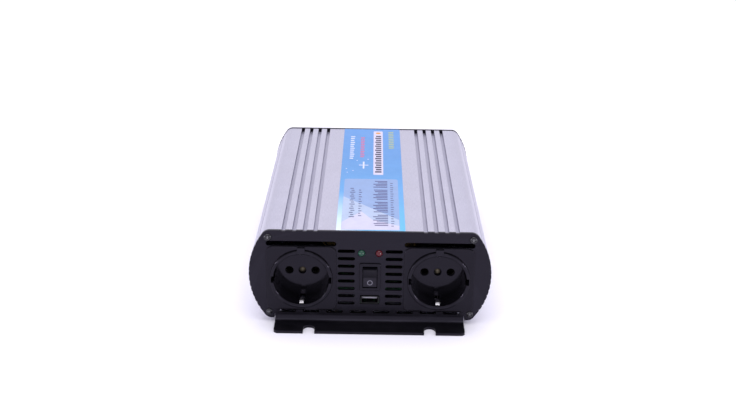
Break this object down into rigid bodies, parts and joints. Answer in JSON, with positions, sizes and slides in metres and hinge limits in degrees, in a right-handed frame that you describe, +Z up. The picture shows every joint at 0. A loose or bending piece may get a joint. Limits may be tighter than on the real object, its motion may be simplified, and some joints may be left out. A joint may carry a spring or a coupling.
{
  "type": "power inverter",
  "caption": "Portable power inverter: extruded aluminium case between flanged black end panels, earthed mains sockets, switch and USB outlet in front, fan and battery terminals behind.",
  "frame": {"origin": "on the floor plane under the middle of the case, where the undersides of the two flanges rest", "axes": "+Z up, +Y from the socket panel towards the terminal panel, +X to the right as seen from the socket panel"},
  "size_m": [0.1732, 0.266, 0.072],
  "materials": {
    "shell_silver": "satin clear-anodised, fine lengthwise die lines",
    "label_film": "printed self-adhesive film, satin",
    "panel_black": "fine-textured satin black powder coat",
    "black_steel": "black zinc, satin",
    "zinc_steel": "bright zinc or nickel plate",
    "spring_steel": "bright nickel plate",
    "brass": "turned brass",
    "black_plastic": "satin moulded plastic",
    "dark_plastic": "fine-spark textured plastic",
    "light_plastic": "moulded insulator, unpigmented",
    "red_plastic": "moulded plastic",
    "green_lens": "tinted diffusing resin, unlit",
    "red_lens": "tinted diffusing resin, unlit",
    "ferrite": "ground ferrite",
    "winding_tape": "polyester tape",
    "heat_aluminium": "as extruded",
    "capacitor_sleeve": "shrink sleeve",
    "circuit_green": "solder mask",
    "red_lead": "PVC insulation",
    "black_lead": "PVC insulation"
  },
  "bodies": {
    "case": {"base_plate": "shell_silver", "black_battery_lead": "black_lead", "black_insulator": "black_plastic", "black_stud": "brass", "fan_frame": "black_plastic", "fan_guard": "zinc_steel", "fan_screw_lower_left": "zinc_steel", "fan_screw_lower_right": "zinc_steel", "fan_screw_upper_left": "zinc_steel", "fan_screw_upper_right": "zinc_steel", "front_panel": "panel_black", "front_screw_lower_left": "black_steel", "front_screw_lower_right": "black_steel", "front_screw_upper_left": "black_steel", "front_screw_upper_right": "black_steel", "green_lamp": "green_lens", "label": "label_film", "left_capacitor": "capacitor_sleeve", "left_earth_strap": "spring_steel", "left_heat_bar": "heat_aluminium", "left_live_sleeve": "brass", "left_neutral_sleeve": "brass", "left_socket": "black_plastic", "left_socket_screw": "brass", "left_transformer_coil": "winding_tape", "left_transformer_core": "ferrite", "left_transistors": "dark_plastic", "live_lead": "red_lead", "main_board": "circuit_green", "neutral_lead": "black_lead", "rear_panel": "panel_black", "rear_screw_lower_left": "black_steel", "rear_screw_lower_right": "black_steel", "rear_screw_upper_left": "black_steel", "rear_screw_upper_right": "black_steel", "red_battery_lead": "red_lead", "red_insulator": "red_plastic", "red_lamp": "red_lens", "red_stud": "brass", "right_capacitor": "capacitor_sleeve", "right_earth_strap": "spring_steel", "right_heat_bar": "heat_aluminium", "right_live_sleeve": "brass", "right_neutral_sleeve": "brass", "right_socket": "black_plastic", "right_socket_screw": "brass", "right_transformer_coil": "winding_tape", "right_transformer_core": "ferrite", "right_transistors": "dark_plastic", "switch_housing": "black_plastic", "top_shell": "shell_silver", "usb_board": "circuit_green", "usb_shell": "spring_steel", "usb_tongue": "light_plastic"},
    "rocker": {"rocker": "dark_plastic"},
    "fan_rotor": {"fan_rotor": "dark_plastic"},
    "red_washer": {"red_washer": "zinc_steel"},
    "red_knob": {"red_knob": "red_plastic"},
    "black_washer": {"black_washer": "zinc_steel"},
    "black_knob": {"black_knob": "black_plastic"}
  },
  "joints": [
    {"name": "rocker_press", "type": "hinge", "parent": "case", "child": "rocker", "pos_m": [0, -0.11215, 0.0369], "axis": [-1, 0, 0], "range_deg": [0, 20]},
    {"name": "fan_spin", "type": "hinge", "parent": "case", "child": "fan_rotor", "pos_m": [0, 0.1045, 0.0367], "axis": [0, 1, 0], "continuous": true},
    {"name": "red_washer_slide", "type": "slide", "parent": "case", "child": "red_washer", "axis": [0, 1, 0], "range_m": [0, 0.005]},
    {"name": "red_knob_turn", "type": "hinge", "parent": "red_washer", "child": "red_knob", "pos_m": [0.052, 0.1257, 0.0367], "axis": [0, 1, 0], "range_deg": [0, 1441]},
    {"name": "black_washer_slide", "type": "slide", "parent": "case", "child": "black_washer", "axis": [0, 1, 0], "range_m": [0, 0.005]},
    {"name": "black_knob_turn", "type": "hinge", "parent": "black_washer", "child": "black_knob", "pos_m": [-0.052, 0.1257, 0.0367], "axis": [0, 1, 0], "range_deg": [0, 1441]}
  ],
  "couplings": [
    {"joint": "red_knob_turn", "follows": "red_washer_slide", "rad_per_m": 5026.5},
    {"joint": "black_knob_turn", "follows": "black_washer_slide", "rad_per_m": 5026.5}
  ]
}
